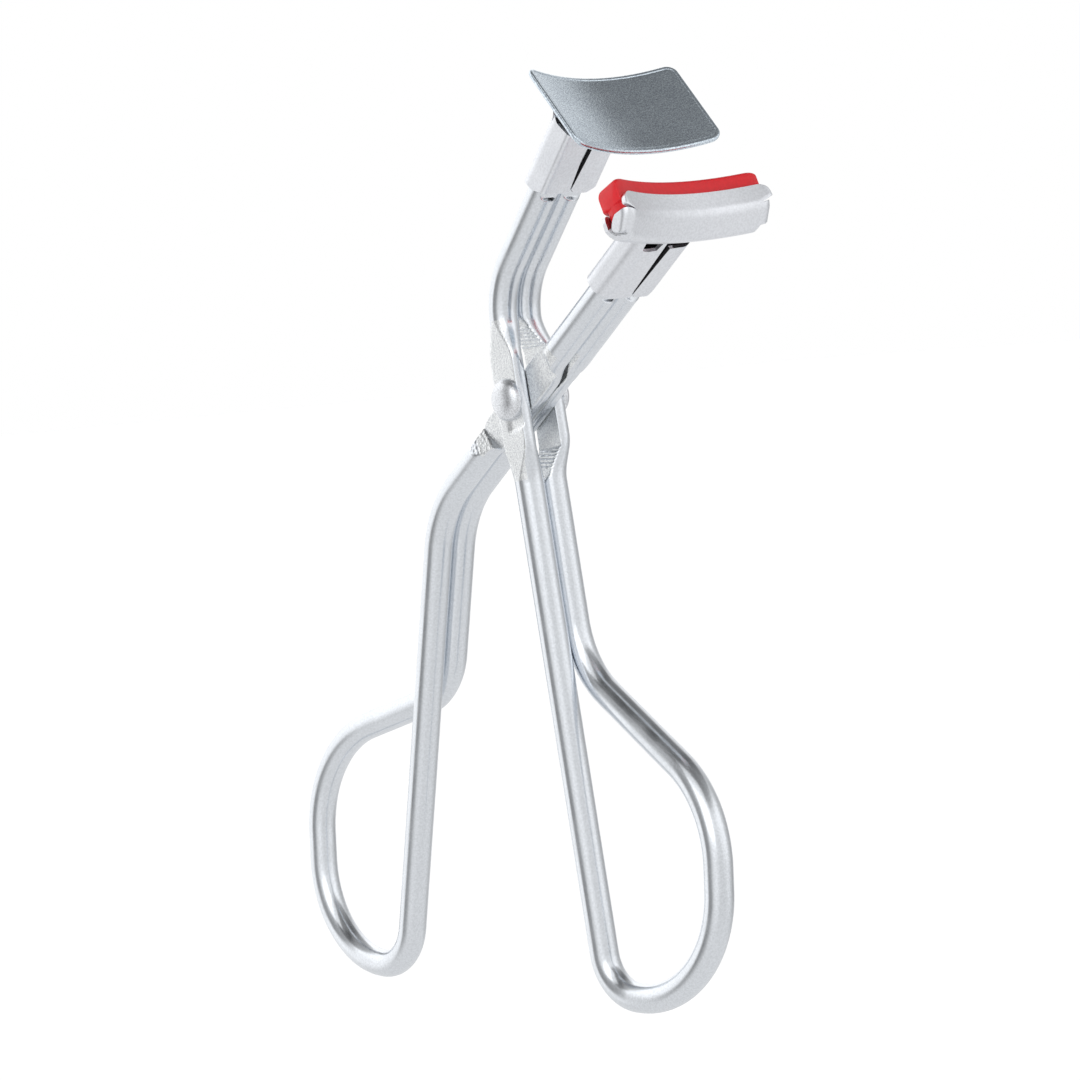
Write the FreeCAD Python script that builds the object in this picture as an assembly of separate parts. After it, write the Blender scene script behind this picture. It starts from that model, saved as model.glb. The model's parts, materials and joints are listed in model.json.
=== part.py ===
import FreeCAD, Part
import math
import os
from FreeCAD import Vector

# Open-sided eyelash curler. Millimetres, +Z up, X along the pivot.
# Outlines are given as (y, z), with y measured from where the two levers cross
# and z from the floor.

# --- pivot -----------------------------------------------------------------
CROSSING_Y = 9.1            # from the middle of the tool's spread to the crossing
CROSSING_Z = 68.8
RIVET_AT = (-0.7, 68.9)     # the rivet sits a little behind the crossing
RIVET_RADIUS = 1.25
RIVET_HEAD_RADIUS = 2.4
RIVET_HEAD_HEIGHT = 1.2
PIVOT_CLEARANCE = 0.05      # radial, between the rivet and the lever that turns on it

# --- the two wire levers ---------------------------------------------------
WIRE_RADIUS = 1.65
ROD_OFFSET = 1.70           # half the spacing of a lever's two rods

FRONT_ARM_LEAN = 41.0       # degrees from vertical
FRONT_ARM_LENGTH = 21.5     # from the bend to the rods' ends
FRONT_BEND = (-2.55, 81.3)
FRONT_BEND_RADIUS = 9.0
FRONT_LEG_LEAN = 6.6
FRONT_LOOP = [              # (x, y, z, bend radius), from one rod round to the other
    (ROD_OFFSET, 6.67, WIRE_RADIUS, 5.2),
    (1.1, 24.5, WIRE_RADIUS, 12.8),
    (-0.2, 24.5, 24.1, 13.0),
    (-ROD_OFFSET, 2.45, 38.1, 11.0),
]

REAR_ARM_LEAN = 53.5
REAR_ARM_LENGTH = 43.0
REAR_BEND = (-16.42, 56.65)
REAR_BEND_RADIUS = 13.0
REAR_LOOP = [
    (ROD_OFFSET, -29.9, WIRE_RADIUS, 6.4),
    (1.1, -47.1, WIRE_RADIUS, 12.0),
    (-0.2, -47.1, 27.45, 14.0),
    (-ROD_OFFSET, -21.8, 34.7, 8.0),
]

# --- coined flats at the pivot, as (v, w) outlines along each lever ---------
FRONT_FLAT_INNER = 1.78
FRONT_FLAT_OUTER = 3.35
FRONT_FLAT_REACH = 9.6
FRONT_ROD_SHIFT = -1.05     # the rods pass this far to one side of the rivet
FRONT_FLAT = [
    (0.2, 9.6), (-2.1, 9.6), (-2.6, 7.3), (-2.95, 5.2), (-2.95, -3.0),
    (-3.15, -4.9), (-2.8, -7.3), (-2.1, -9.6), (0.2, -9.6), (0.85, -7.4),
    (1.6, -2.5), (1.65, 4.5), (0.95, 7.3),
]
REAR_FLAT_INNER = 0.25
REAR_FLAT_OUTER = 1.70
REAR_FLAT_REACH = 7.2
REAR_FLAT = [
    (1.2, 7.2), (-1.3, 7.2), (-2.3, 6.0), (-2.6, 4.0), (-2.6, -4.8),
    (-2.3, -6.2), (-1.3, -7.2), (1.2, -7.2), (1.75, -6.0), (1.95, -4.0),
    (1.95, 4.5), (1.65, 6.2),
]

# --- the jaws --------------------------------------------------------------
JAW_HALF_WIDTH = 10.6
JAW_SAG = 1.95              # how far the middle of a jaw lies behind its ends
JAW_RADIUS = (JAW_HALF_WIDTH ** 2 + JAW_SAG ** 2) / (2 * JAW_SAG)

PLATE_MIDDLE = (19.6, 100.2)    # between the plate's two ends, on its front face
PLATE_LEAN = -40.3
PLATE_HEIGHT = 11.5
PLATE_THICKNESS = 0.65
PLATE_CORNER_RADIUS = 1.3

SLEEVE_WALL = 0.5
SLEEVE_PINCH = 0.02         # how hard a sleeve grips its rods, per side
SLEEVE_CORNER_RADIUS = 1.2
SLEEVE_SLIT = 0.8
NECK_CUT = -0.4             # the neck keeps the part of the sleeve in front of this depth
FRONT_SLEEVE = (14.5, 22.8, 28.0)   # start, end of the full tube, end of the neck
REAR_SLEEVE = (39.8, 47.8, 52.5)

HOLDER_FOOT = (29.05, 85.45)    # between the channel's two ends, at its floor
HOLDER_LEAN = -22.0
HOLDER_OUTLINE = [          # (depth, height, bend radius) of the channel's outside, back to front
    (-2.2, 3.2, 0), (-2.2, 0.5, 1.2), (0.1, -0.3, 0.9), (2.2, 1.7, 0.9), (2.1, 4.3, 0),
]
HOLDER_CAVITY = [
    (-1.6, 6.5, 0), (-1.6, 0.9, 0.3), (0.1, 0.35, 0.6), (1.6, 1.9, 0.5), (1.5, 6.5, 0),
]
TAB_THICKNESS = 0.6
TAB_OUTLINE = [(1.5, 0.2), (2.0, 1.6), (1.5, 2.9), (0.1, 2.6), (-0.9, 1.3), (-0.9, 0.2)]
PAD_OUTLINE = [
    (-1.61, 1.3, 0), (-1.61, 3.35, 0), (-2.1, 3.35, 0), (-2.1, 6.0, 0.9), (1.51, 6.2, 0.5),
    (1.51, 2.3, 0), (0.8, 1.3, 0),
]
PAD_HALF_WIDTH = 10.3
PAD_FOOT_HALF_WIDTH = 9.95


def rounded_path(corners):
    """Lines and arcs along (point, bend radius) corners, as edges in order."""
    edges = []
    start = corners[0][0]
    for (before, _), (here, radius), (after, _) in zip(corners, corners[1:], corners[2:]):
        if radius == 0:
            edges.append(Part.makeLine(start, here))
            start = here
            continue
        back = (before - here).normalize()
        ahead = (after - here).normalize()
        half = back.getAngle(ahead) / 2
        enter = here + back * (radius / math.tan(half))
        leave = here + ahead * (radius / math.tan(half))
        crest = here + (back + ahead).normalize() * (radius / math.sin(half) - radius)
        edges.append(Part.makeLine(start, enter))
        edges.append(Part.Arc(enter, crest, leave).toShape())
        start = leave
    edges.append(Part.makeLine(start, corners[-1][0]))
    return edges


def direction(lean):
    """(y, z) direction that leans from vertical towards +y by this many degrees."""
    angle = math.radians(lean)
    return math.sin(angle), math.cos(angle)


def along(point, lean, distance):
    """Point reached from here along a leaning direction."""
    dy, dz = direction(lean)
    return point[0] + dy * distance, point[1] + dz * distance


def round_bar(edge):
    """Round wire along a straight line or an arc."""
    start = edge.valueAt(edge.FirstParameter)
    ring = Part.makeCircle(WIRE_RADIUS, start, edge.tangentAt(edge.FirstParameter))
    return Part.Wire([edge]).makePipeShell([Part.Wire(ring)], True, False)


def wire_lever(arm_end, bend, bend_radius, loop):
    """One hairpin of wire: arm, bend, leg, finger loop, and back up beside itself."""
    first = Vector(ROD_OFFSET, 0, 0)
    second = Vector(-ROD_OFFSET, 0, 0)
    arm_end = Vector(0, arm_end[0], arm_end[1])
    bend = Vector(0, bend[0], bend[1])
    corners = [(first + arm_end, 0), (first + bend, bend_radius)]
    corners += [(Vector(x, y, z), radius) for x, y, z, radius in loop]
    corners += [(second + bend, bend_radius), (second + arm_end, 0)]
    bars = [round_bar(edge) for edge in rounded_path(corners)]
    return bars[0].fuse(bars[1:]).removeSplitter()


def plate_between(outline, low, high):
    """Flat plate with this (y, z) outline, from x = low to x = high."""
    points = [Vector(low, y, z) for y, z in outline]
    face = Part.Face(Part.makePolygon(points + points[:1]))
    return face.extrude(Vector(high - low, 0, 0))


def turned(shape, lean):
    """Lay a shape made along +Z about the origin along a lever through the pivot."""
    shape.rotate(Vector(0, 0, 0), Vector(1, 0, 0), -lean)
    shape.translate(Vector(0, 0, CROSSING_Z))
    return shape


def coined(lever, lean, shift, reach, outline, inner, outer, bore):
    """Replace the round rods round the pivot with two flats, bored for the rivet."""
    half = WIRE_RADIUS + 0.6
    gap = [(shift - half, -reach), (shift + half, -reach),
           (shift + half, reach), (shift - half, reach)]
    lever = lever.cut(turned(plate_between(gap, -5, 5), lean))
    for side in (-1, 1):
        low, high = sorted((side * inner, side * outer))
        flat = turned(plate_between(outline, low, high), lean)
        lever = lever.fuse(flat)
    hole = Part.makeCylinder(bore, 10, Vector(-5, *RIVET_AT), Vector(1, 0, 0))
    return lever.cut(hole).removeSplitter()


def rounded_box(width, depth, length, radius):
    """Bar along +Z with a rounded rectangular section centred on the axis."""
    bar = Part.makeBox(width, depth, length, Vector(-width / 2, -depth / 2, 0))
    upright = [edge for edge in bar.Edges if abs(edge.tangentAt(0).z) > 0.99]
    return bar.makeFillet(radius, upright)


def place(shape, origin, lean):
    """Move a shape made along +Z at the origin to a leaning place in the (y, z) plane."""
    shape.rotate(Vector(0, 0, 0), Vector(1, 0, 0), -lean)
    shape.translate(Vector(0, origin[0], origin[1]))
    return shape


def sleeve(stations):
    """Tube gripping two rods along +Z, with a slit in front and a half-open neck beyond."""
    start, tube_end, neck_end = stations
    inner_width = 2 * (ROD_OFFSET + WIRE_RADIUS - SLEEVE_PINCH)
    inner_depth = 2 * (WIRE_RADIUS - SLEEVE_PINCH)
    outer_width = inner_width + 2 * SLEEVE_WALL
    outer_depth = inner_depth + 2 * SLEEVE_WALL
    outer = rounded_box(outer_width, outer_depth, neck_end - start, SLEEVE_CORNER_RADIUS)
    inner = rounded_box(inner_width, inner_depth, neck_end - start + 2, 1.4)
    inner.translate(Vector(0, 0, -1))
    slit = Part.makeBox(SLEEVE_SLIT, 5, neck_end, Vector(-SLEEVE_SLIT / 2, 0, 1.4))
    behind = Part.makeBox(20, 10, 20, Vector(-10, NECK_CUT - 10, tube_end - start))
    tube = outer.cut([inner, slit, behind])
    tube.translate(Vector(0, 0, start))
    return tube


def outline_face(corners, shift):
    """Face in the plane x = 0 from (depth, height, radius) corners, moved back by a shift."""
    ring = [(Vector(0, depth - shift, height), radius) for depth, height, radius in corners]
    edges = rounded_path(ring)
    edges.append(Part.makeLine(ring[-1][0], ring[0][0]))
    return Part.Face(Part.Wire(edges))


def bowed(corners, half_width):
    """Sweep an outline round the jaw's curve and trim both ends square."""
    face = outline_face(corners, JAW_SAG)
    hub = Vector(0, JAW_RADIUS - JAW_SAG, 0)
    face.rotate(hub, Vector(0, 0, 1), -35)
    bar = face.revolve(hub, Vector(0, 0, 1), 70)
    trim = Part.makeBox(2 * half_width, 60, 60, Vector(-half_width, -30, -30))
    return bar.common(trim)


def dome(side):
    """Low rivet head on the outside of the flats."""
    ball = (RIVET_HEAD_RADIUS ** 2 + RIVET_HEAD_HEIGHT ** 2) / (2 * RIVET_HEAD_HEIGHT)
    seat = FRONT_FLAT_OUTER
    middle = Vector(side * (seat + RIVET_HEAD_HEIGHT - ball), *RIVET_AT)
    corner = Vector(min(side * seat, side * (seat + 5)), RIVET_AT[0] - 10, RIVET_AT[1] - 10)
    keep = Part.makeBox(5, 20, 20, corner)
    return Part.makeSphere(ball, middle).common(keep)


# --- levers ----------------------------------------------------------------
front_arm_end = along(FRONT_BEND, FRONT_ARM_LEAN, FRONT_ARM_LENGTH)
front_lever = wire_lever(front_arm_end, FRONT_BEND, FRONT_BEND_RADIUS, FRONT_LOOP)
front_lever = coined(front_lever, -FRONT_LEG_LEAN, FRONT_ROD_SHIFT, FRONT_FLAT_REACH,
                     FRONT_FLAT, FRONT_FLAT_INNER, FRONT_FLAT_OUTER, RIVET_RADIUS)
rear_arm_end = along(REAR_BEND, REAR_ARM_LEAN, REAR_ARM_LENGTH)
rear_lever = wire_lever(rear_arm_end, REAR_BEND, REAR_BEND_RADIUS, REAR_LOOP)
rear_lever = coined(rear_lever, REAR_ARM_LEAN, 0, REAR_FLAT_REACH,
                    REAR_FLAT, REAR_FLAT_INNER, REAR_FLAT_OUTER, RIVET_RADIUS + PIVOT_CLEARANCE)


# --- rivet -----------------------------------------------------------------
shank = Part.makeCylinder(RIVET_RADIUS, 2 * FRONT_FLAT_OUTER,
                          Vector(-FRONT_FLAT_OUTER, *RIVET_AT), Vector(1, 0, 0))
rivet = shank.fuse([dome(-1), dome(1)]).removeSplitter()

# --- press plate: one stamping, plate and sleeve ---------------------------
plate_top = PLATE_HEIGHT / 2
plate = bowed([(0, -plate_top, 0), (0, plate_top, 0), (-PLATE_THICKNESS, plate_top, 0),
               (-PLATE_THICKNESS, -plate_top, 0)], JAW_HALF_WIDTH)
outline = Part.makeBox(2 * JAW_HALF_WIDTH, 20, PLATE_HEIGHT,
                       Vector(-JAW_HALF_WIDTH, -10, -plate_top))
upright = [edge for edge in outline.Edges if abs(edge.tangentAt(0).y) > 0.99]
plate = plate.common(outline.makeFillet(PLATE_CORNER_RADIUS, upright))
plate = place(plate, PLATE_MIDDLE, PLATE_LEAN)
front_sleeve = place(sleeve(FRONT_SLEEVE), FRONT_BEND, FRONT_ARM_LEAN)
eye_side = Part.makeCylinder(JAW_RADIUS + PLATE_THICKNESS / 2, 60,
                             Vector(0, JAW_RADIUS - JAW_SAG, -30))
front_sleeve = front_sleeve.cut(place(eye_side, PLATE_MIDDLE, PLATE_LEAN))
press_plate = plate.fuse(front_sleeve).removeSplitter()

# --- pad holder: one stamping, channel with end tabs and sleeve ------------
channel = bowed(HOLDER_OUTLINE, JAW_HALF_WIDTH)
cavity = bowed(HOLDER_CAVITY, JAW_HALF_WIDTH + 1)
channel = channel.cut(cavity)
for side in (-1, 1):
    low, high = sorted((side * JAW_HALF_WIDTH, side * (JAW_HALF_WIDTH - TAB_THICKNESS)))
    channel = channel.fuse(plate_between(TAB_OUTLINE, low, high))
rear_sleeve = place(sleeve(REAR_SLEEVE), REAR_BEND, REAR_ARM_LEAN)
rear_sleeve = rear_sleeve.cut(place(cavity, HOLDER_FOOT, HOLDER_LEAN))
pad_holder = place(channel, HOLDER_FOOT, HOLDER_LEAN).fuse(rear_sleeve).removeSplitter()

# --- silicone pad ----------------------------------------------------------
pad = bowed(PAD_OUTLINE, PAD_HALF_WIDTH)
for side in (-1, 1):
    low, high = sorted((side * PAD_FOOT_HALF_WIDTH, side * (PAD_HALF_WIDTH + 1)))
    pad = pad.cut(Part.makeBox(high - low, 20, 3.35, Vector(low, -10, 0)))
pad = place(pad, HOLDER_FOOT, HOLDER_LEAN)

shapes = {
    "wire_lever_front": front_lever,
    "wire_lever_rear": rear_lever,
    "pivot_rivet": rivet,
    "press_plate": press_plate,
    "pad_holder": pad_holder,
    "lash_pad": pad,
}
os.makedirs("parts", exist_ok=True)
for name, shape in shapes.items():
    shape.translate(Vector(0, CROSSING_Y, 0))
    shape.exportStep("parts/" + name + ".step")
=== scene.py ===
import json
import math

import bmesh
import bpy
from mathutils import Matrix, Vector, noise


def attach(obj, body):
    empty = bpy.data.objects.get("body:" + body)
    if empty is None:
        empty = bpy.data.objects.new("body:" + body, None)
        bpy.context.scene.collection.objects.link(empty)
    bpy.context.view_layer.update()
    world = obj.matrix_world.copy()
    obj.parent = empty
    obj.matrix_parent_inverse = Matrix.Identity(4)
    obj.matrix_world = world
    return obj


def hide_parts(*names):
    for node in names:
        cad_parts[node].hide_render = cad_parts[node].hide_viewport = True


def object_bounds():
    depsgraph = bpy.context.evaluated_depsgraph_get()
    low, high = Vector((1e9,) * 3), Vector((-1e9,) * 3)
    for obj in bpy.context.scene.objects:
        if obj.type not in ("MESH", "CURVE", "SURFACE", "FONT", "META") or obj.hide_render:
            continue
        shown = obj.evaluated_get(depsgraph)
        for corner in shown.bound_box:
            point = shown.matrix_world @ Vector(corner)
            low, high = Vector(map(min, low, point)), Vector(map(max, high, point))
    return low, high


# Looks of an open-sided eyelash curler. Shapes are worked out in millimetres, with y measured
# from where the two levers cross and z from the loops' lowest point, and turned into metres by
# add_piece. Arms, flats and jaws are worked out in frames that lean about x: see placed.

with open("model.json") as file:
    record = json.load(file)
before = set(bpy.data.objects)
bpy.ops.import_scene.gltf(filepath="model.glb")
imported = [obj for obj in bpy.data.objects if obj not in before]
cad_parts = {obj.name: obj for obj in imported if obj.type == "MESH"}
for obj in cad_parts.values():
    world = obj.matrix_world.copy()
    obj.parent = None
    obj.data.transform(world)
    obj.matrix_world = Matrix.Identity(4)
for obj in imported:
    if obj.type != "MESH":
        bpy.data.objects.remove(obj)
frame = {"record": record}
cad_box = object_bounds()

MM = 0.001
pivot = Vector(frame["record"]["behaviour"]["joints"][0]["pos_m"]) / MM
RIVET_AT = (-0.7, pivot.z)              # (y, z) of the rivet
CROSSING_Y = pivot.y - RIVET_AT[0]
CROSSING_Z = pivot.z - 0.1

# --- the two wire levers ----------------------------------------------------
WIRE_RADIUS = 1.65
ROD_OFFSET = 1.70           # x of each rod's middle
ROD_GAP = 0.05              # x of the rods' inner faces
RING_POINTS = 56            # round the wire
FINE_STEP = 0.08            # between rings where the wire has ribs and steps
COINED_STEP = 0.16          # between rings in the rest of the coined stretch
BEND_STEP = 0.5
PLAIN_STEP = 1.5
FRONT_LEAN = -6.6           # of the coined stretch, in degrees from vertical towards +y
REAR_LEAN = 53.5            # of the rear lever's coined stretch and arm
FRONT_ARM_LEAN = 41.0
FRONT_BEND = (-2.55, 81.3)  # (y, z) where each lever's arm starts
REAR_BEND = (-16.42, 56.65)
FRONT_ARM_LENGTH = 21.5
REAR_ARM_LENGTH = 43.0
FRONT_BEND_RADIUS = 9.0
REAR_BEND_RADIUS = 13.0
FRONT_LOOP = [              # (x, y, z, bend radius), from one rod round to the other
    (ROD_OFFSET, 6.67, WIRE_RADIUS, 5.2),
    (1.1, 24.5, WIRE_RADIUS, 12.8),
    (-0.2, 24.5, 24.1, 13.0),
    (-ROD_OFFSET, 2.45, 38.1, 11.0),
]
REAR_LOOP = [
    (ROD_OFFSET, -29.9, WIRE_RADIUS, 6.4),
    (1.1, -47.1, WIRE_RADIUS, 12.0),
    (-0.2, -47.1, 27.45, 14.0),
    (-ROD_OFFSET, -21.8, 34.7, 8.0),
]

# Coined stretch: v runs across a flat, towards the eye side, and w along it from the crossing.
COINED_REACH = 11.0         # w beyond which the wire stays round
FINE_FROM, FINE_TO = 5.4, 10.2      # w between which rings lie a fine step apart
COINED_FINISH_REACH = 9.0   # w up to which faces that face along x have the coined finish
COINED_FINISH_FACING = 0.72
FLAT_HALF_WIDTH = 2.27
FRONT_FLAT = (1.78, 3.35)   # x of a front flat's inner and outer faces
FRONT_FLAT_MIDDLE = 2.56    # x that a front rod's middle moves to
FRONT_FLAT_HALF = 1.45
FRONT_FLAT_SHIFT = -0.68    # v of a front flat's middle
FRONT_ROD_SHIFT = -1.05     # v of the front rods' middle before they are coined
FRONT_FLAT_END = 9.4        # w at which a front flat has faded out, and the length of the fade
FRONT_FLAT_FADE = 4.9
FRONT_RAMP_END = 9.6        # the same for the ramp on its inner face
FRONT_RAMP = 3.9
REAR_FLAT_OUTER = 1.70
REAR_FLAT_MIDDLE = 0.97
REAR_FLAT_HALF = 1.5
REAR_FLAT_SHIFT = -0.33
REAR_FLAT_LOW = -8.8        # w at which a rear flat has faded out, below and above
REAR_FLAT_HIGH = 7.6
LOW_STEP = -7.27            # w at which a rear flat's outer face ends
HIGH_STEP = 7.1
RIBS_FROM, RIBS_TO = 5.9, 8.2
RIB_PITCH = 0.42
RIB_HEIGHT = 0.28
CRIMP_LENGTH = 1.3          # of the nip in the rods just below each sleeve
CRIMP_DEPTH = 0.85          # of the nipped face at the sleeve, from the rods' middle
CRIMP_SLOPE = 0.3
CRIMP_ZONE = (-1.5, 3.0)    # distances below a sleeve between which rings lie a fine step apart

# --- the jaws -----------------------------------------------------------------
JAW_HALF_WIDTH = 10.6
JAW_SAG = 1.95              # how far a jaw bows back at its middle
STATION_STEP = 0.5          # between rings along a jaw
JAW_RADIUS = (JAW_HALF_WIDTH ** 2 + JAW_SAG ** 2) / (2 * JAW_SAG)
PLATE_MIDDLE = (19.6, 100.2)    # (y, z)
PLATE_LEAN = -40.3
PLATE_HALF_HEIGHT = 5.75
PLATE_THICKNESS = 0.62
PLATE_CORNER = 1.3
RIM_WIDTH = 0.52            # of the plate's rolled rim
RIM_ROUNDING = 0.28
RIM_RAISED = 0.04
SEAM_DEPTH = 0.05           # of the line between the rim and the face
SEAM_WIDTH = 0.07
NEAR_RIM = [0.0, 0.02, 0.06, 0.12, 0.2, 0.3, 0.38, 0.44,    # distances of rings from the edge
            0.48, 0.52, 0.56, 0.60, 0.66, 0.75, 0.9, 1.1]
PLATE_COLUMNS, PLATE_ROWS = 22, 12      # in half the plate's flat middle
HOLDER_FOOT = (29.05, 85.45)    # (y, z)
HOLDER_LEAN = -22.0
HOLDER_WALL = 0.5
SLIT_HEIGHT = 2.2           # of the slit between the front wall and the ear
SLIT_LIFT = 0.5             # how far the slit rises towards the end
SLIT_HALF = 0.07            # half the slit's width
FRONT_WALL = 0.6            # depth beyond which the channel counts as its front wall
FRONT_TOP, BACK_TOP, FOOT = 4.3, 3.2, -0.3      # heights of the channel's edges
END_ZONE = 8.8              # x beyond which the channel's ends are shaped
END_COLUMNS = 24
LIP_TURN = 0.6              # the upper wall turns in over this length at its ends
EAR_START = 9.3             # x at which the channel's lower wall starts to wrap round the end
EAR_RADIUS = 1.3
EAR_LENGTH = 1.5            # how far the ear reaches back past the bend at its widest
EAR_FOOT = 0.7              # how far the wall runs past EAR_START above and below the ear
EAR_MIDDLE = 1.45           # height of the ear's widest line
EAR_HALF = 1.05             # half the ear's height
PAD_HALF_WIDTH = 10.3
PAD_END = 1.5               # length over which the pad's ends round off
PAD_MIDDLE = (-0.3, 4.3)    # (depth, height) that the pad's ends shrink towards
PAD_SHRINK = 0.25
FOOT_SHRINK = 0.035         # how much narrower the pad's foot is than its head

# --- the sleeves ----------------------------------------------------------------
SLEEVE_HALF_WIDTH = 3.82
SLEEVE_HALF_DEPTH = 2.12
SLEEVE_WALL = 0.42
SLEEVE_BACK_CORNER = 1.5
SLEEVE_LIP = 0.5            # the nips in the rods end this far past a sleeve's lowest point
SLEEVE_RINGS = 48
EVEN_SHARE = 0.75           # share of a sleeve's rings that lie evenly
FRONT_SLEEVE_START = 14.2   # along the arm from its bend
REAR_SLEEVE_START = 39.9
SLEEVE_REACH = 12.5         # faces of a jaw within this length of a sleeve's start belong to it
FRONT_STEP = 0.7            # a sleeve's front starts this far above its back
FRONT_SIDE_END = 22.7       # distances along the arm at which parts of a sleeve end
FRONT_NECK_END = 25.9
REAR_NECK_END = 50.0
WINDOW_START = 48.3         # the windows in the rear sleeve reach from here to the channel
WINDOW_SLOPE = 0.10
WINDOW_SIDE = 3.1           # x of the near window's outer side
STRIP_FROM, STRIP_TO = -0.15, 1.3   # x of the strip between the windows
NECK_FLARE = 0.45           # how much the front sleeve's neck widens towards the plate
NECK_START = 23.0
NECK_LENGTH = 3.0


def smooth(t):
    """0 below 0, 1 above 1, and an S-curve between."""
    t = min(max(t, 0.0), 1.0)
    return t * t * (3 - 2 * t)


def mix(a, b, t):
    return a + (b - a) * t


def placed(x, depth, height, origin, lean):
    """Point given in a frame that leans towards +y by this many degrees."""
    c, s = math.cos(math.radians(lean)), math.sin(math.radians(lean))
    return Vector((x, origin[0] + depth * c + height * s, origin[1] - depth * s + height * c))


def local(point, origin, lean):
    """(depth, height) of a point in a leaning frame; the inverse of placed."""
    c, s = math.cos(math.radians(lean)), math.sin(math.radians(lean))
    y, z = point.y - origin[0], point.z - origin[1]
    return y * c - z * s, y * s + z * c


# --- meshes -------------------------------------------------------------------
def loft(rings, close_ends=True):
    """Vertices and faces of a skin over rings with the same number of points."""
    count = len(rings[0])
    vertices = [point for ring in rings for point in ring]
    faces = []
    for i in range(len(rings) - 1):
        for k in range(count):
            after = (k + 1) % count
            faces.append((i * count + k, i * count + after,
                          (i + 1) * count + after, (i + 1) * count + k))
    if close_ends:
        for i in (0, len(rings) - 1):
            middle = sum(rings[i], Vector()) / count
            vertices.append(middle)
            faces += [(i * count + k, i * count + (k + 1) % count, len(vertices) - 1)
                      for k in range(count)]
    return vertices, faces


def sheet_loft(outer_rings, inner_rings):
    """Skin of a bent sheet from matching rings down its two sides, closed along every edge."""
    count = len(outer_rings[0])
    rings = [outer + inner[::-1] for outer, inner in zip(outer_rings, inner_rings)]
    vertices, faces = loft(rings, close_ends=False)
    whole = 2 * count
    for ring in (0, len(rings) - 1):
        for k in range(count - 1):
            faces.append((ring * whole + k, ring * whole + k + 1,
                          ring * whole + whole - 2 - k, ring * whole + whole - 1 - k))
    return vertices, faces


def offset_line(points, distance):
    """The same open line moved sideways, to the right of the way it runs."""
    moved = []
    for i, point in enumerate(points):
        ahead = (points[min(i + 1, len(points) - 1)] - points[max(i - 1, 0)]).normalized()
        moved.append(point + Vector((ahead.y, -ahead.x)) * distance)
    return moved


def add_piece(name, parts, materials, body, stands_for, pick=None, sharp=40):
    """One object from (vertices, faces) parts, riding a body and taking a slot's finish."""
    bm = bmesh.new()
    for vertices, faces in parts:
        made = [bm.verts.new((v + Vector((0, CROSSING_Y, 0))) * MM) for v in vertices]
        for face in faces:
            bm.faces.new([made[i] for i in face])
    bmesh.ops.recalc_face_normals(bm, faces=bm.faces)
    for face in bm.faces:
        face.smooth = True
        if pick:
            middle = face.calc_center_median() / MM - Vector((0, CROSSING_Y, 0))
            face.material_index = pick(middle, face.normal)
    for edge in bm.edges:
        if len(edge.link_faces) == 2 and edge.calc_face_angle() > math.radians(sharp):
            edge.smooth = False
    mesh = bpy.data.meshes.new(name)
    bm.to_mesh(mesh)
    bm.free()
    piece = bpy.data.objects.new(name, mesh)
    bpy.context.collection.objects.link(piece)
    for material in materials:
        mesh.materials.append(material)
    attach(piece, body)
    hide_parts(*stands_for)
    return piece


def rounded_outline(corners, steps=5, closed=False):
    """Points along 2-D (a, b, bend radius) corners, with an arc at each that has a radius."""
    points = []
    last = len(corners)
    for i, (a, b, radius) in enumerate(corners):
        here = Vector((a, b))
        if radius == 0 or (not closed and i in (0, last - 1)):
            points.append(here)
            continue
        back = (Vector(corners[i - 1][:2]) - here).normalized()
        ahead = (Vector(corners[(i + 1) % last][:2]) - here).normalized()
        half = back.angle(ahead) / 2
        centre = here + (back + ahead).normalized() * (radius / math.sin(half))
        start = here + back * (radius / math.tan(half)) - centre
        end = here + ahead * (radius / math.tan(half)) - centre
        turn = start.angle_signed(end)
        for k in range(steps + 1):
            spun = start.copy()
            spun.rotate(Matrix.Rotation(-turn * k / steps, 2))
            points.append(centre + spun)
    return points


def divided(points, longest, closed=True):
    """The same outline with no gap between points longer than this."""
    out = []
    ends = points[1:] + points[:1] if closed else points[1:]
    for here, after in zip(points, ends):
        pieces = max(1, math.ceil((after - here).length / longest))
        out += [here.lerp(after, k / pieces) for k in range(pieces)]
    return out if closed else out + [points[-1]]


# --- the wire ------------------------------------------------------------------
def wire_path(corners, step_at):
    """(point, tangent) along rounded 3-D corners; step_at(point) is the gap to the next ring."""
    path = []

    def straight(start, end):
        length = (end - start).length
        ahead = (end - start).normalized()
        done = 0.0
        while done < length:
            here = start + ahead * done
            path.append((here, ahead))
            done += step_at(here)

    start = corners[0][0]
    for (before, _), (here, radius), (after, _) in zip(corners, corners[1:], corners[2:]):
        back = (before - here).normalized()
        ahead = (after - here).normalized()
        half = back.angle(ahead) / 2
        enter = here + back * (radius / math.tan(half))
        leave = here + ahead * (radius / math.tan(half))
        centre = here + (back + ahead).normalized() * (radius / math.sin(half))
        straight(start, enter)
        axis = (enter - centre).cross(leave - centre).normalized()
        turn = (enter - centre).angle(leave - centre)
        step = min(BEND_STEP, step_at(here.lerp(enter, 0.8)) * 2)
        steps = math.ceil(turn * radius / step)
        for k in range(steps):
            spin = Matrix.Rotation(turn * k / steps, 3, axis)
            path.append((centre + spin @ (enter - centre), spin @ -back))
        start = leave
    straight(start, corners[-1][0])
    path.append((corners[-1][0], (corners[-1][0] - start).normalized()))
    return path


def crimp(depth, below):
    """A rod's front side, nipped flat this far below the sleeve that grips it."""
    nip = smooth((CRIMP_LENGTH - below) / 0.35) * smooth((below + 0.3) / 0.2)
    floor = CRIMP_DEPTH + CRIMP_SLOPE * below / CRIMP_LENGTH
    return mix(depth, min(depth, floor), nip)


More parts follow.
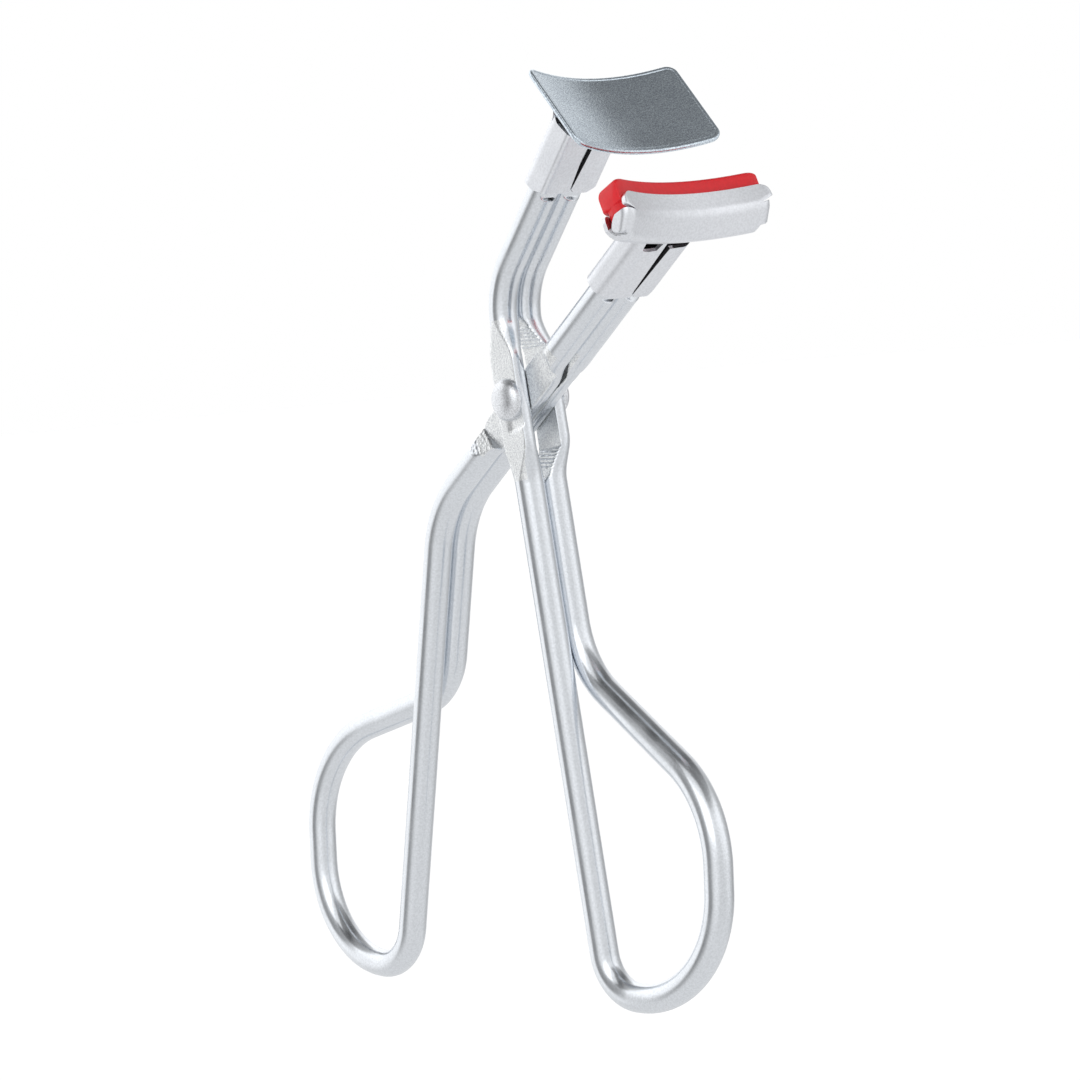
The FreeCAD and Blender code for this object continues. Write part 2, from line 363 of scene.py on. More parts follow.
def wire_mesh(arm_end, arm_lean, sleeve_start, bend, bend_radius, loop, lean, press):
    """Skin of one hairpin lever; press(x, v, w) reshapes it where it is coined."""
    first, second = Vector((ROD_OFFSET, 0, 0)), Vector((-ROD_OFFSET, 0, 0))
    arm_from = bend
    arm_end, bend = Vector((0, *arm_end)), Vector((0, *bend))
    corners = [(first + arm_end, 0), (first + bend, bend_radius)]
    corners += [(Vector(p[:3]), p[3]) for p in loop]
    corners += [(second + bend, bend_radius), (second + arm_end, 0)]
    crossing = (0.0, CROSSING_Z)
    sideways = Vector((1, 0, 0))
    rings = []

    def step_at(here):
        far = abs(local(here, crossing, lean)[1])
        below = sleeve_start - local(here, arm_from, arm_lean)[1]
        if CRIMP_ZONE[0] < below < CRIMP_ZONE[1] and here.z > CROSSING_Z:
            return FINE_STEP
        if far > COINED_REACH + BEND_STEP:
            return PLAIN_STEP
        return FINE_STEP if FINE_FROM < far < FINE_TO else COINED_STEP

    for point, ahead in wire_path(corners, step_at):
        across = (sideways - ahead * sideways.dot(ahead)).normalized()
        over = ahead.cross(across)
        ring = []
        for k in range(RING_POINTS):
            angle = 2 * math.pi * k / RING_POINTS
            at = point + (across * math.cos(angle) + over * math.sin(angle)) * WIRE_RADIUS
            v, w = local(at, crossing, lean)
            if abs(w) < COINED_REACH:
                side = 1 if point.x > 0 else -1
                x, v = press(at.x * side, v, w)
                at = placed(x * side, v, w, crossing, lean)
            depth, reached = local(at, arm_from, arm_lean)
            if abs(sleeve_start - reached) < 2 * CRIMP_LENGTH and at.z > CROSSING_Z:
                at = placed(at.x, crimp(depth, sleeve_start - reached), reached, arm_from, arm_lean)
            ring.append(at)
        rings.append(ring)
    return loft(rings)


def ribs(along, across):
    """Height of the pressed ribs, broken here and there as a worn die leaves them."""
    ridge = abs((along / RIB_PITCH) % 1 - 0.5) * 2
    broken = 0.65 + 0.5 * noise.noise(Vector((across * 1.7, along * 2.1, 3.0)))
    return RIB_HEIGHT * ridge * broken


def rivet_hollow(v, w):
    """How deep the smooth hollow beside the rivet's head is, below it and to the front."""
    v, w = v - FRONT_FLAT_SHIFT, w - 0.18
    ring = smooth((3.9 - math.hypot(v, w)) / 0.5)
    return 0.16 * ring * smooth((-w - 0.4) / 0.9) * smooth((v + 0.9) / 0.9)


def press_front(x, v, w):
    """The front lever's rods are thinned from inside, to let the rear lever pass between."""
    flat = smooth((FRONT_FLAT_END - abs(w)) / FRONT_FLAT_FADE)
    v = mix(v, FRONT_FLAT_SHIFT + (v - FRONT_ROD_SHIFT) * FLAT_HALF_WIDTH / WIRE_RADIUS, flat)
    x = mix(x, FRONT_FLAT_MIDDLE + (x - ROD_OFFSET) * FRONT_FLAT_HALF / WIRE_RADIUS, flat)
    ramp = min(max((FRONT_RAMP_END - abs(w)) / FRONT_RAMP, 0.0), 1.0)
    inner = mix(ROD_GAP, FRONT_FLAT[0], ramp)
    if RIBS_FROM < abs(w) < RIBS_TO and x < inner + 0.02:
        inner -= ribs(w + 0.12 * v, v)
    return min(max(x, inner), FRONT_FLAT[1] - rivet_hollow(v, w)), v


def press_rear(x, v, w):
    """The rear lever's rods are thinned from outside, with a stepped end to each flat."""
    flat = smooth((REAR_FLAT_HIGH - w) / 3.0) * smooth((w - REAR_FLAT_LOW) / 3.2)
    v = mix(v, REAR_FLAT_SHIFT + v * FLAT_HALF_WIDTH / WIRE_RADIUS, flat)
    x = mix(x, REAR_FLAT_MIDDLE + (x - ROD_OFFSET) * REAR_FLAT_HALF / WIRE_RADIUS, flat)
    low_step, high_step = LOW_STEP + 0.21 * v, HIGH_STEP - 0.4 * v
    outer = REAR_FLAT_OUTER
    if w < low_step:
        past = low_step - w
        shoulder = REAR_FLAT_OUTER + 0.85 * min(max((v + 2.2) / 3.85, 0.0), 1.0)
        shoulder += 0.45 * past + 0.05 * noise.noise(Vector((v * 4.3, w * 4.3, 1.0)))
        outer = min(outer + 5.0 * past, max(shoulder, outer))
    elif w > high_step:
        outer = mix(outer, 2.9 + 0.6 * (w - 7.3), smooth((w - high_step) / 0.25))
    gap = 0.10 + 0.24 * math.exp(-((w - 5.6) / 1.5) ** 2)
    inner = mix(ROD_GAP, gap, smooth((9.0 - abs(w)) / 2.0))
    return min(max(x, inner), outer), v


def along(point, lean, distance):
    """(y, z) reached from a point along a leaning direction."""
    angle = math.radians(lean)
    return point[0] + math.sin(angle) * distance, point[1] + math.cos(angle) * distance


# --- finishes -------------------------------------------------------------------
def finish(name, colour, metallic, roughness, grains, specks=0.0, wear=0.0, **sockets):
    """Plated or moulded finish: bump from grains of (size in mm, strength, distance in mm)."""
    material = bpy.data.materials.new(name)
    material.use_nodes = True
    nodes, links = material.node_tree.nodes, material.node_tree.links
    shader = nodes["Principled BSDF"]
    shader.inputs["Metallic"].default_value = metallic
    for socket, value in sockets.items():
        shader.inputs[socket.replace("_", " ")].default_value = value
    place = nodes.new("ShaderNodeTexCoord").outputs["Object"]

    def grain(size, detail):
        texture = nodes.new("ShaderNodeTexNoise")
        texture.inputs["Scale"].default_value = 1 / (size * MM)
        texture.inputs["Detail"].default_value = detail
        links.new(place, texture.inputs["Vector"])
        return texture.outputs["Fac"]

    def ramp(source, low, high, first, last):
        scale = nodes.new("ShaderNodeMapRange")
        scale.inputs["From Min"].default_value = low
        scale.inputs["From Max"].default_value = high
        scale.inputs["To Min"].default_value = first
        scale.inputs["To Max"].default_value = last
        links.new(source, scale.inputs["Value"])
        return scale.outputs["Result"]

    cloud = grain(4.0, 3.0)
    speck = grain(grains[0][0] * 0.8, 1.0)
    tone = nodes.new("ShaderNodeMix")
    tone.data_type = "RGBA"
    tone.inputs["A"].default_value = (*[c * (1 - specks) for c in colour], 1)
    tone.inputs["B"].default_value = (*[min(1, c * (1 + specks)) for c in colour], 1)
    links.new(ramp(speck, 0.35, 0.65, 0.0, 1.0), tone.inputs["Factor"])
    links.new(tone.outputs["Result"], shader.inputs["Base Color"])
    links.new(ramp(cloud, 0.35, 0.65, roughness - wear, roughness + wear),
              shader.inputs["Roughness"])
    normal = None
    for size, strength, distance in grains:
        bump = nodes.new("ShaderNodeBump")
        bump.inputs["Strength"].default_value = strength
        bump.inputs["Distance"].default_value = distance * MM
        links.new(grain(size, 2.0), bump.inputs["Height"])
        if normal:
            links.new(normal, bump.inputs["Normal"])
        normal = bump.outputs["Normal"]
    links.new(normal, shader.inputs["Normal"])
    return material


satin = finish("satin_nickel", (0.77, 0.80, 0.84), 1.0, 0.22,
               [(0.30, 0.16, 0.02), (3.0, 0.10, 0.05)], specks=0.04, wear=0.05)
coined = finish("coined_nickel", (0.83, 0.85, 0.88), 1.0, 0.33,
                [(0.20, 0.8, 0.05)], specks=0.18, wear=0.04)
blasted = finish("blasted_nickel", (0.77, 0.79, 0.82), 1.0, 0.30,
                 [(0.17, 0.55, 0.035)], specks=0.20, wear=0.04)
sparkling = finish("sparkling_nickel", (0.66, 0.74, 0.85), 1.0, 0.24,
                   [(0.18, 0.7, 0.033)], specks=0.26, wear=0.03)
smoothed = finish("rolled_nickel", (0.84, 0.86, 0.90), 1.0, 0.41,
                  [(0.30, 0.2, 0.02)], specks=0.05, wear=0.04)
# near-black painted shade for the sleeves' insides, standing in for the shade inside the hollow
# sleeves
inside_painted_shade = finish("painted_shade_inside", (0.05, 0.05, 0.055), 0.6, 0.55,
                   [(0.3, 0.4, 0.03)], specks=0.3, wear=0.05)
silicone = finish("red_silicone", (0.72, 0.012, 0.02), 0.0, 0.42,
                  [(0.5, 0.08, 0.02)], specks=0.04, wear=0.05,
                  Subsurface_Weight=0.15, Subsurface_Scale=0.0008)
silicone_shader = silicone.node_tree.nodes["Principled BSDF"]
silicone_shader.inputs["Subsurface Radius"].default_value = (1, 0.2, 0.1)


# --- levers ---------------------------------------------------------------------
def on_flat(lean, reach):
    """Picks the coined finish for faces pressed flat near the pivot."""
    def pick(middle, normal):
        w = local(middle, (0.0, CROSSING_Z), lean)[1]
        return 1 if abs(w) < reach and abs(normal.x) > COINED_FINISH_FACING else 0
    return pick


add_piece(
    "front_lever_wire",
    [wire_mesh(along(FRONT_BEND, FRONT_ARM_LEAN, FRONT_ARM_LENGTH), FRONT_ARM_LEAN,
               FRONT_SLEEVE_START + SLEEVE_LIP, FRONT_BEND, FRONT_BEND_RADIUS,
               FRONT_LOOP, FRONT_LEAN, press_front)],
    [satin, coined], "front_lever", ["wire_lever_front"],
    on_flat(FRONT_LEAN, COINED_FINISH_REACH))
add_piece(
    "rear_lever_wire",
    [wire_mesh(along(REAR_BEND, REAR_LEAN, REAR_ARM_LENGTH), REAR_LEAN,
               REAR_SLEEVE_START + SLEEVE_LIP, REAR_BEND, REAR_BEND_RADIUS,
               REAR_LOOP, REAR_LEAN, press_rear)],
    [satin, coined], "rear_lever", ["wire_lever_rear"],
    on_flat(REAR_LEAN, COINED_FINISH_REACH - 0.1))


# --- rivet -----------------------------------------------------------------------
def turned_on_x(profile, side, count=64):
    """Rings of (x, radius) stations about the rivet's axis."""
    return [[Vector((side * x, RIVET_AT[0] + radius * math.cos(2 * math.pi * k / count),
                     RIVET_AT[1] + radius * math.sin(2 * math.pi * k / count)))
             for k in range(count)] for x, radius in profile]


HEAD_RADIUS, HEAD_HEIGHT, HEAD_SEAT = 2.4, 1.2, 3.35
HEAD_STEPS = 16
SHANK_RADIUS, SHANK_START = 1.25, 1.0
profile = [(SHANK_START, SHANK_RADIUS), (HEAD_SEAT - 0.3, SHANK_RADIUS),
           (HEAD_SEAT - 0.28, 2.2), (HEAD_SEAT, 2.34)]
for k in range(1, HEAD_STEPS + 1):
    angle = math.radians(90 * k / HEAD_STEPS)
    profile.append((HEAD_SEAT + HEAD_HEIGHT * math.sin(angle),
                    HEAD_RADIUS * math.cos(angle) ** 0.75 if k < HEAD_STEPS else 0.02))
heads = [loft(turned_on_x(profile, side)) for side in (-1, 1)]
add_piece("rivet", heads, [blasted], "front_lever", ["pivot_rivet"])


# --- jaws --------------------------------------------------------------------------
def jaw_point(x, depth, height, origin, lean):
    """Point on a jaw: depth is towards the eye side, and the jaw bows back at its middle."""
    y = JAW_RADIUS - JAW_SAG - math.sqrt((JAW_RADIUS - depth) ** 2 - x ** 2)
    return placed(x, y, height, origin, lean)


def corner_drop(x, radius):
    """How far an edge falls at this x, for a jaw whose ends have rounded corners."""
    into = max(0.0, abs(x) - (JAW_HALF_WIDTH - radius))
    return radius - math.sqrt(max(0.0, radius ** 2 - into ** 2))


def jaw_stations(corner):
    """x positions along a jaw, close together at the rounded ends."""
    inner = JAW_HALF_WIDTH - corner
    count = math.ceil(inner / STATION_STEP)
    half = [inner * k / count for k in range(count)]
    half += [inner + corner * math.sin(math.radians(90 * k / 14)) for k in range(14)]
    return [-x for x in reversed(half[1:])] + half


def rim_distance(x, height):
    """How far a point of the plate's face lies inside its rounded edge."""
    across = max(abs(x) - (JAW_HALF_WIDTH - PLATE_CORNER), 0.0)
    up = max(abs(height) - (PLATE_HALF_HEIGHT - PLATE_CORNER), 0.0)
    straight = min(JAW_HALF_WIDTH - abs(x), PLATE_HALF_HEIGHT - abs(height))
    return min(straight, PLATE_CORNER - math.hypot(across, up))


def plate_relief(x, height):
    """Depth of the plate's front face: a rolled rim, a seam beside it, then the flat middle."""
    inside = rim_distance(x, height)
    rounding = RIM_ROUNDING - min(inside, RIM_ROUNDING)
    fall = RIM_ROUNDING - math.sqrt(max(RIM_ROUNDING ** 2 - rounding ** 2, 0.0))
    seam = SEAM_DEPTH * math.exp(-((inside - RIM_WIDTH) / SEAM_WIDTH) ** 2)
    step = RIM_RAISED * smooth((inside - RIM_WIDTH) / SEAM_WIDTH)
    return -fall - seam - step


def plate_mesh():
    """Curved press plate, doubled over at its rim."""
    half = PLATE_THICKNESS / 2
    inner = JAW_HALF_WIDTH - NEAR_RIM[-1]
    columns = [inner * k / PLATE_COLUMNS for k in range(PLATE_COLUMNS)]
    columns += [JAW_HALF_WIDTH - gap for gap in NEAR_RIM[::-1]]
    columns = [-x for x in columns[:0:-1]] + columns
    outer_rings, inner_rings = [], []
    for x in columns:
        tall = PLATE_HALF_HEIGHT - corner_drop(x, PLATE_CORNER)
        rows = [tall - NEAR_RIM[-1]] + [tall - gap for gap in NEAR_RIM[:-1][::-1]]
        rows = [rows[0] * k / PLATE_ROWS for k in range(PLATE_ROWS)] + rows
        rows = [-height for height in rows[:0:-1]] + rows
        front, rear = [], []
        for height in rows:
            relief = plate_relief(x, height)
            fall = min(-relief, half) if rim_distance(x, height) < RIM_ROUNDING else 0.0
            front.append(jaw_point(x, relief, height, PLATE_MIDDLE, PLATE_LEAN))
            rear.append(jaw_point(x, fall - 2 * half, height, PLATE_MIDDLE, PLATE_LEAN))
        outer_rings.append(front)
        inner_rings.append(rear)
    return sheet_loft(outer_rings, inner_rings)


def sleeve_line(slit, corner):
    """Outside of the C-shaped section, from one lip of the slit round to the other."""
    wide, deep = SLEEVE_HALF_WIDTH, SLEEVE_HALF_DEPTH
    corners = [(0, deep, 0), (wide, deep, corner), (wide, -deep, SLEEVE_BACK_CORNER),
               (-wide, -deep, SLEEVE_BACK_CORNER), (-wide, deep, corner), (0, deep, 0)]
    line = divided(rounded_outline(corners, 8), 0.22, closed=False)
    flat = wide - corner
    for i, point in enumerate(line):
        if point.y > deep - 0.001 and abs(point.x) < flat:
            side = 1 if i < len(line) / 2 else -1
            line[i] = Vector((side * mix(slit, flat, abs(point.x) / flat), point.y))
    return line


def sleeve_mesh(origin, lean, corner, slit_ends, low_end, high_end, shared, neck_flare=0.0):
    """Sleeve wrapped round both rods; each end is given as a distance for every (x, depth).

    Rings lie evenly up to the distance called shared, and are drawn out to the end after it.
    """
    outer_rings, inner_rings = [], []
    for row in range(SLEEVE_RINGS + 1):
        share = row / SLEEVE_RINGS
        outer = sleeve_line(mix(*slit_ends, share), corner)
        inner = offset_line(outer, SLEEVE_WALL)
        rings = []
        for line in (outer, inner):
            ring = []
            for skin, point in zip(outer, line):
                start, end = low_end(skin.x, skin.y), high_end(skin.x, skin.y)
                far = mix(start, shared, min(share / EVEN_SHARE, 1.0))
                far = mix(far, end, max(share - EVEN_SHARE, 0.0) / (1 - EVEN_SHARE))
                flare = 1 + neck_flare * smooth((far - NECK_START) / NECK_LENGTH)
                ring.append(placed(point.x * flare, point.y, far, origin, lean))
            rings.append(ring)
        outer_rings.append(rings[0])
        inner_rings.append(rings[1])
    return sheet_loft(outer_rings, inner_rings)


def meeting(x, depth, arm, arm_lean, jaw, jaw_lean, level, start):
    """Distance along an arm at which a line beside it meets a jaw's sheet."""
    low, high = start, start + 20
    for _ in range(30):
        middle = (low + high) / 2
        point = placed(x, depth, middle, arm, arm_lean)
        low, high = (middle, high) if level(point, jaw, jaw_lean) else (low, middle)
    return low


def behind_plate(point, jaw, jaw_lean):
    depth, _ = local(point, jaw, jaw_lean)
    back = JAW_RADIUS - JAW_SAG - math.sqrt((JAW_RADIUS + PLATE_THICKNESS / 2) ** 2 - point.x ** 2)
    return depth < back


def behind_holder(point, jaw, jaw_lean):
    depth, _ = local(point, jaw, jaw_lean)
    return depth < JAW_RADIUS - JAW_SAG - math.sqrt((JAW_RADIUS + 2.0) ** 2 - point.x ** 2)


def lower_end(start, chamfer):
    """Lower end of a sleeve, clipped at the far flap's outer corner and rounded at its lip."""
    def distance(x, depth):
        start_here = start + FRONT_STEP * smooth(depth / SLEEVE_HALF_DEPTH)
        if depth < 0:
            return start_here
        lip = 0.5 * (1 - smooth(-x / 0.7)) if x < 0 else 0.12 * (1 - smooth(x / 0.4))
        return start_here + chamfer * smooth((-x - 2.3) / 1.5) + lip
    return distance


def front_reach(x, depth):
    """The front sleeve stops short of the plate at its sides; its front and back go on to it."""
    rim = FRONT_SIDE_END + 0.9 * smooth(-depth / 2.0)
    if abs(x) > 3.0 and depth > -1.3:
        return rim
    top = meeting(x, depth, FRONT_BEND, FRONT_ARM_LEAN, PLATE_MIDDLE, PLATE_LEAN, behind_plate, 18)
    return min(top, FRONT_NECK_END) if depth < 0 else mix(top, rim, smooth((abs(x) - 2.3) / 0.7))


def rear_reach(x, depth):
    """The rear sleeve runs up to the channel, with a window each side of a strip in front."""
    top = meeting(x, depth, REAR_BEND, REAR_LEAN, HOLDER_FOOT, HOLDER_LEAN, behind_holder, 40)
    top = min(top, REAR_NECK_END + depth - 0.3) if depth < 0.3 else top
    if depth < SLEEVE_HALF_DEPTH - 0.3:
        return top
    window = WINDOW_START + WINDOW_SLOPE * (3.3 - x)
    strip = smooth((x - STRIP_FROM) / 0.25) * smooth((STRIP_TO - x) / 0.3)
    side = smooth((x - WINDOW_SIDE) / 0.25)
    return mix(window, top, max(strip, side))


front_sleeve = sleeve_mesh(
    FRONT_BEND, FRONT_ARM_LEAN, corner=0.5, slit_ends=(0.06, 0.7),
    low_end=lower_end(FRONT_SLEEVE_START, chamfer=0.8), high_end=front_reach, shared=21.5,
    neck_flare=NECK_FLARE)
rear_sleeve = sleeve_mesh(
    REAR_BEND, REAR_LEAN, corner=1.5, slit_ends=(0.08, 0.5),
    low_end=lower_end(REAR_SLEEVE_START, chamfer=1.8), high_end=rear_reach, shared=47.4)


def sleeve_finish_and_shade(middle, normal):
    """Picks the smooth finish for sleeves, and a near-black painted shade for their insides."""
    for arm, lean, start in ((FRONT_BEND, FRONT_ARM_LEAN, FRONT_SLEEVE_START - 0.4),
                             (REAR_BEND, REAR_LEAN, REAR_SLEEVE_START - 0.9)):
        depth, far = local(middle, arm, lean)
        if start < far < start + SLEEVE_REACH and abs(depth) < SLEEVE_HALF_DEPTH + 0.1:
            leaning = math.radians(lean)
            outwards = normal.y * math.cos(leaning) - normal.z * math.sin(leaning)
            # faces that face into a sleeve get slot 2, the near-black painted shade
            return 2 if normal.x * middle.x + outwards * depth < -0.1 else 1
    return 0


add_piece("press_plate_sheet", [plate_mesh(), front_sleeve], [sparkling, smoothed, inside_painted_shade],
          "front_lever", ["press_plate"], sleeve_finish_and_shade, sharp=50)


def ear_length(height):
    """Length of the lower wall past EAR_START, along a line at this height."""
    across = min(abs(height - EAR_MIDDLE) / EAR_HALF, 1.0)
    whole = EAR_RADIUS * math.pi / 2 + EAR_LENGTH - EAR_FOOT
    return EAR_FOOT + whole * math.sqrt(1 - across ** 2)


def slit_lift(share, height):
    """Rise of a line of the front wall as it nears the end, greatest beside the slit."""
    return SLIT_LIFT * smooth(1.6 * share) * max(0.0, 1 - abs(height - SLIT_HEIGHT) / 2.0)


def holder_line():
    """(depth, height, part of the channel) down the outside, from the back rim to the front."""
    corners = [(-2.2, BACK_TOP, 0), (-2.2, 0.5, 1.2), (0.1, FOOT, 0.9),
               (2.2, 1.85, 1.5), (2.1, FRONT_TOP, 0)]
    return divided(rounded_outline(corners, 10), 0.11, closed=False)


def holder_mesh():
    """Channel that holds the pad: its front wall has a crease, a slit and a wrapped ear per end."""
    line = holder_line()
    inside = offset_line(line, -HOLDER_WALL)
    ends = [k / END_COLUMNS for k in range(END_COLUMNS + 1)]
    columns = [END_ZONE * k / END_COLUMNS for k in range(END_COLUMNS)]
    columns += [END_ZONE + (JAW_HALF_WIDTH - END_ZONE) * share for share in ends]
    columns = [-x for x in columns[:0:-1]] + columns
    outer_rings, inner_rings = [], []
    for x in columns:
        side = 1 if x > 0 else -1
        share = max(0.0, (abs(x) - END_ZONE) / (JAW_HALF_WIDTH - END_ZONE))
        rings = []
        for skin in (0, 1):
            ring = []
            for outer, inner in zip(line, inside):
                depth, height = inner if skin else outer
                ring.append(holder_point(side, share, abs(x), outer, depth, height, skin))
            rings.append(ring)
        outer_rings.append(rings[0])
        inner_rings.append(rings[1])
    return sheet_loft(outer_rings, inner_rings)


def holder_point(side, share, x, outer, depth, height, skin):
    """Place one point of the channel's skin, with its ends shaped beyond END_ZONE.

    outer is the (depth, height) of its line on the outside, share how far it is into the end,
    and skin 0 for the outside and 1 for the inside.
    """
    in_front = outer.x > FRONT_WALL
    if in_front and outer.y < SLIT_HEIGHT - SLIT_HALF:
        run = share * (EAR_START - END_ZONE + ear_length(outer.y)) - (EAR_START - END_ZONE)
        if share > 0 and run > 0:
            turn = min(run / EAR_RADIUS, math.pi / 2)
            radius = EAR_RADIUS - HOLDER_WALL * skin
            depth = outer.x - EAR_RADIUS + radius * math.cos(turn) - (run - EAR_RADIUS * turn)
            x = EAR_START + radius * math.sin(turn)
            height = mix(height, outer.y, min(turn, 1.0))
        elif share > 0:
            x = EAR_START + run
        height += slit_lift(share, outer.y)
    elif in_front and outer.y < SLIT_HEIGHT + SLIT_HALF:
        x = END_ZONE + share * 0.5 if share > 0 else x
    elif in_front:
        height = min(height + slit_lift(share, outer.y), FRONT_TOP - corner_drop(x, 1.5) * 0.9)
        depth -= LIP_TURN * max(0.0, x - (JAW_HALF_WIDTH - LIP_TURN)) ** 2
    else:
        height = max(height, FOOT + max(0.0, x - END_ZONE))
        height = min(height, BACK_TOP - corner_drop(x, 0.8))
    return jaw_point(side * min(x, JAW_HALF_WIDTH), depth, height, HOLDER_FOOT, HOLDER_LEAN)


add_piece("pad_holder_sheet", [holder_mesh(), rear_sleeve], [smoothed, smoothed, inside_painted_shade],
          "rear_lever", ["pad_holder"], sleeve_finish_and_shade, sharp=50)


# --- pad ---------------------------------------------------------------------------
def pad_mesh():
    """Silicone pad: a head that overhangs the channel's walls and a narrower foot between them."""
    corners = [(-1.55, 1.3, 0.3), (-1.55, 3.3, 0.1), (-2.1, 3.45, 0.15), (-2.1, 6.0, 0.9),
               (1.5, 6.2, 0.35), (1.5, 2.3, 0.2), (0.8, 1.3, 0.3)]
    outline = divided(rounded_outline(corners, 6, closed=True), 0.3)
    middle = Vector(PAD_MIDDLE)
    rings = []
    for x in jaw_stations(PAD_END):
        x *= PAD_HALF_WIDTH / JAW_HALF_WIDTH
        into = min(1.0, max(0.0, abs(x) - PAD_HALF_WIDTH + PAD_END) / PAD_END)
        size = 1 - PAD_SHRINK * (1 - math.sqrt(max(0.0, 1 - into ** 2)))
        ring = []
        for point in outline:
            foot = 1 - FOOT_SHRINK * smooth((3.5 - point.y) / 0.3)
            depth, height = middle + (point - middle) * size
            ring.append(jaw_point(x * foot, depth, height, HOLDER_FOOT, HOLDER_LEAN))
        rings.append(ring)
    return loft(rings)


pad = add_piece("lash_pad_silicone", [pad_mesh()], [silicone], "rear_lever", ["lash_pad"])


# --- studio ------------------------------------------------------------------------
def look_from(location, target):
    """Matrix of a light or camera at a place, facing a target."""
    back = (Vector(location) - Vector(target)).normalized()
    return Matrix.Translation(location) @ back.to_track_quat("Z", "Y").to_matrix().to_4x4()


def softbox(name, location, target, width, height, power):
    data = bpy.data.lights.new(name, "AREA")
    data.shape = "RECTANGLE"
    data.size, data.size_y, data.energy = width, height, power
    light = bpy.data.objects.new(name, data)
    light.matrix_world = look_from(location, target)
    bpy.context.collection.objects.link(light)


middle = (cad_box[0] + cad_box[1]) / 2
softbox("key", middle + Vector((0.40, 0.20, 0.30)), middle, width=0.5, height=0.5, power=0.45)
softbox("fill", middle + Vector((-0.20, 0.50, 0.15)), middle, width=0.5, height=0.5, power=0.1)

FLOOR_DROP = 6.0            # mm below the loops at rest, since one dips as the jaws close
bpy.ops.mesh.primitive_plane_add(size=8, location=(0, 0, cad_box[0].z - FLOOR_DROP * MM))
floor = bpy.context.object
floor.name = "floor"
floor.visible_glossy = False
pale = bpy.data.materials.new("pale_floor")
pale.use_nodes = True
pale_shader = pale.node_tree.nodes["Principled BSDF"]
pale_shader.inputs["Base Color"].default_value = (0.4, 0.4, 0.4, 1)
pale_shader.inputs["Roughness"].default_value = 0.9
pale_shader.inputs["Emission Color"].default_value = (1, 1, 1, 1)
pale_shader.inputs["Emission Strength"].default_value = 0.75
floor.data.materials.append(pale)


# Brightness of the tent at compass directions in degrees from +x, with a gap beside +x.
TENT_AROUND = [(-180, 0.46), (180, 0.46), (-130, 1.1), (-50, 1.15), (-34, 0.3), (-14, 0.36),
               (6, 0.85), (26, 1.0), (60, 0.78), (95, 0.78), (122, 0.92), (152, 0.76)]
# The same by height, as the sine of the angle above the floor.
TENT_UPWARDS = [(-1.0, 0.9), (1.0, 0.25), (-0.3, 0.95), (0.0, 1.0), (0.3, 1.1), (0.59, 1.25),
                (0.71, 0.44), (0.9, 0.25)]
# Between these heights, going down, the tent fades to one pale shade.
TENT_LOW = (-0.2, -0.55)
TENT_LOW_SHADE = 0.8


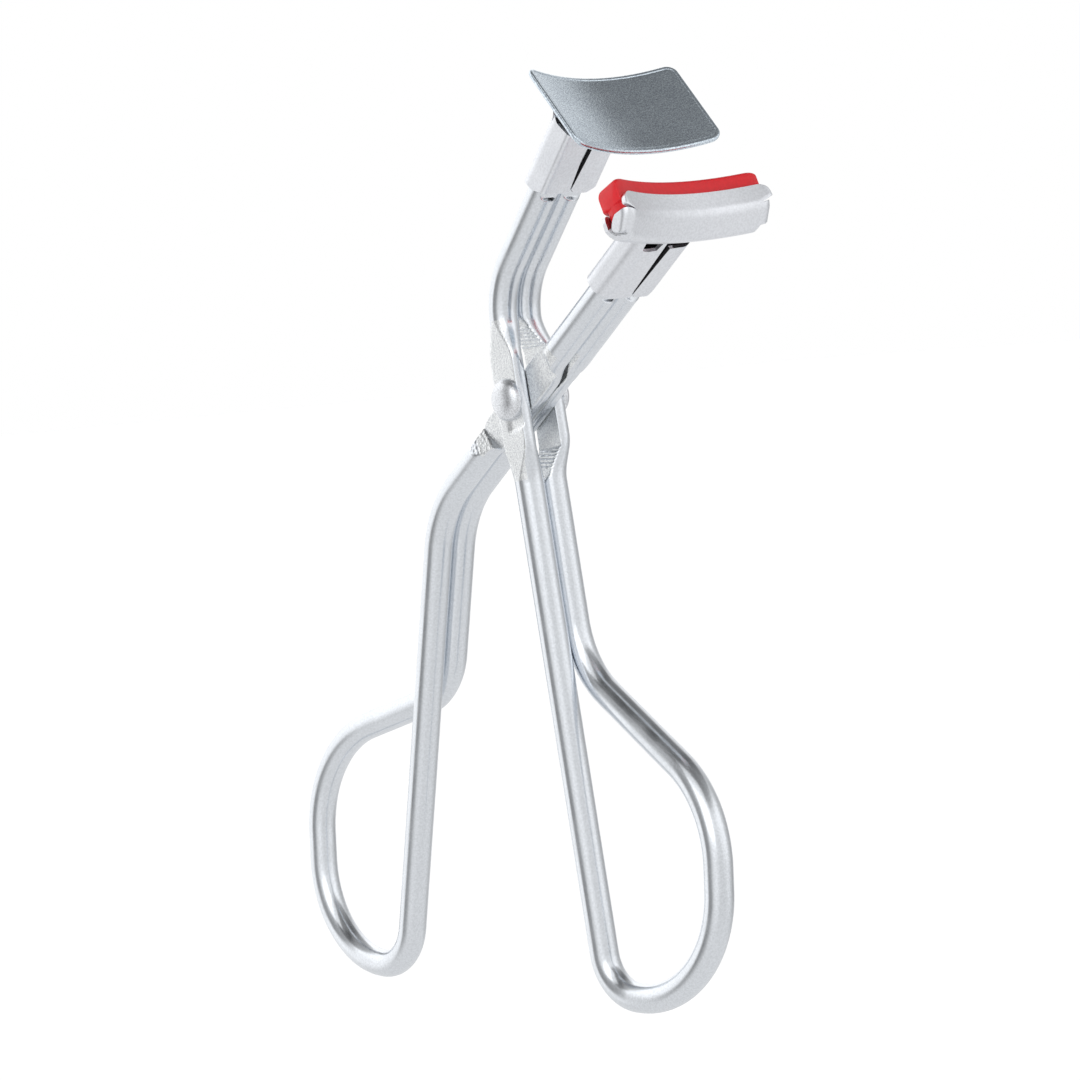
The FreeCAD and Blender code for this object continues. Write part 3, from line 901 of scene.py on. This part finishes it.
def tent():
    """White studio tent: brightness by compass direction and by height above the floor."""
    world = bpy.data.worlds.new("studio_tent")
    bpy.context.scene.world = world
    world.use_nodes = True
    nodes, links = world.node_tree.nodes, world.node_tree.links
    split = nodes.new("ShaderNodeSeparateXYZ")
    links.new(nodes.new("ShaderNodeTexCoord").outputs["Generated"], split.inputs[0])

    def ramp(source, low, high, stops):
        span = nodes.new("ShaderNodeMapRange")
        span.inputs["From Min"].default_value = low
        span.inputs["From Max"].default_value = high
        links.new(source, span.inputs["Value"])
        shades = nodes.new("ShaderNodeValToRGB")
        shades.color_ramp.interpolation = "EASE"
        for i, (place, shade) in enumerate(stops):
            elements = shades.color_ramp.elements
            stop = elements[i] if i < 2 else elements.new(1.0)
            stop.position = (place - low) / (high - low)
            stop.color = (shade, shade, shade, 1)
        links.new(span.outputs["Result"], shades.inputs["Fac"])
        return shades.outputs["Color"]

    turn = nodes.new("ShaderNodeMath")
    turn.operation = "ARCTAN2"
    links.new(split.outputs["Y"], turn.inputs[0])
    links.new(split.outputs["X"], turn.inputs[1])
    degrees = nodes.new("ShaderNodeMath")
    degrees.operation = "DEGREES"
    links.new(turn.outputs[0], degrees.inputs[0])
    around = ramp(degrees.outputs[0], -180, 180, TENT_AROUND)
    upwards = ramp(split.outputs["Z"], -1, 1, TENT_UPWARDS)
    both = nodes.new("ShaderNodeVectorMath")
    both.operation = "MULTIPLY"
    links.new(around, both.inputs[0])
    links.new(upwards, both.inputs[1])
    lower = nodes.new("ShaderNodeMapRange")
    lower.inputs["From Min"].default_value = TENT_LOW[0]
    lower.inputs["From Max"].default_value = TENT_LOW[1]
    links.new(split.outputs["Z"], lower.inputs["Value"])
    whole = nodes.new("ShaderNodeMix")
    whole.data_type = "RGBA"
    links.new(lower.outputs["Result"], whole.inputs["Factor"])
    links.new(both.outputs[0], whole.inputs["A"])
    whole.inputs["B"].default_value = (TENT_LOW_SHADE, TENT_LOW_SHADE, TENT_LOW_SHADE, 1)
    shown = nodes.new("ShaderNodeMix")
    shown.data_type = "RGBA"
    links.new(nodes.new("ShaderNodeLightPath").outputs["Is Camera Ray"], shown.inputs["Factor"])
    links.new(whole.outputs["Result"], shown.inputs["A"])
    shown.inputs["B"].default_value = (1, 1, 1, 1)
    links.new(shown.outputs["Result"], nodes["Background"].inputs["Color"])


tent()
bpy.context.scene.view_settings.view_transform = "Standard"

# --- camera ------------------------------------------------------------------------
CAMERA_AT = Vector((254.39, 302.07 + CROSSING_Y, 76.02)) * MM
CAMERA_BACK = Vector((0.64168, 0.76472, 0.05869))
CAMERA_UP = Vector((-0.10120, 0.00857, 0.99483))
CAMERA_LENS = 116.67        # mm, on a 36 mm sensor
right = CAMERA_UP.cross(CAMERA_BACK)
camera = bpy.data.objects.new("camera", bpy.data.cameras.new("camera"))
camera.data.lens = CAMERA_LENS
camera.data.sensor_width = 36
camera.data.clip_start = 0.01
axes = Matrix((right, CAMERA_UP, CAMERA_BACK)).transposed().to_4x4()
camera.matrix_world = Matrix.Translation(CAMERA_AT) @ axes
bpy.context.collection.objects.link(camera)
bpy.context.scene.camera = camera
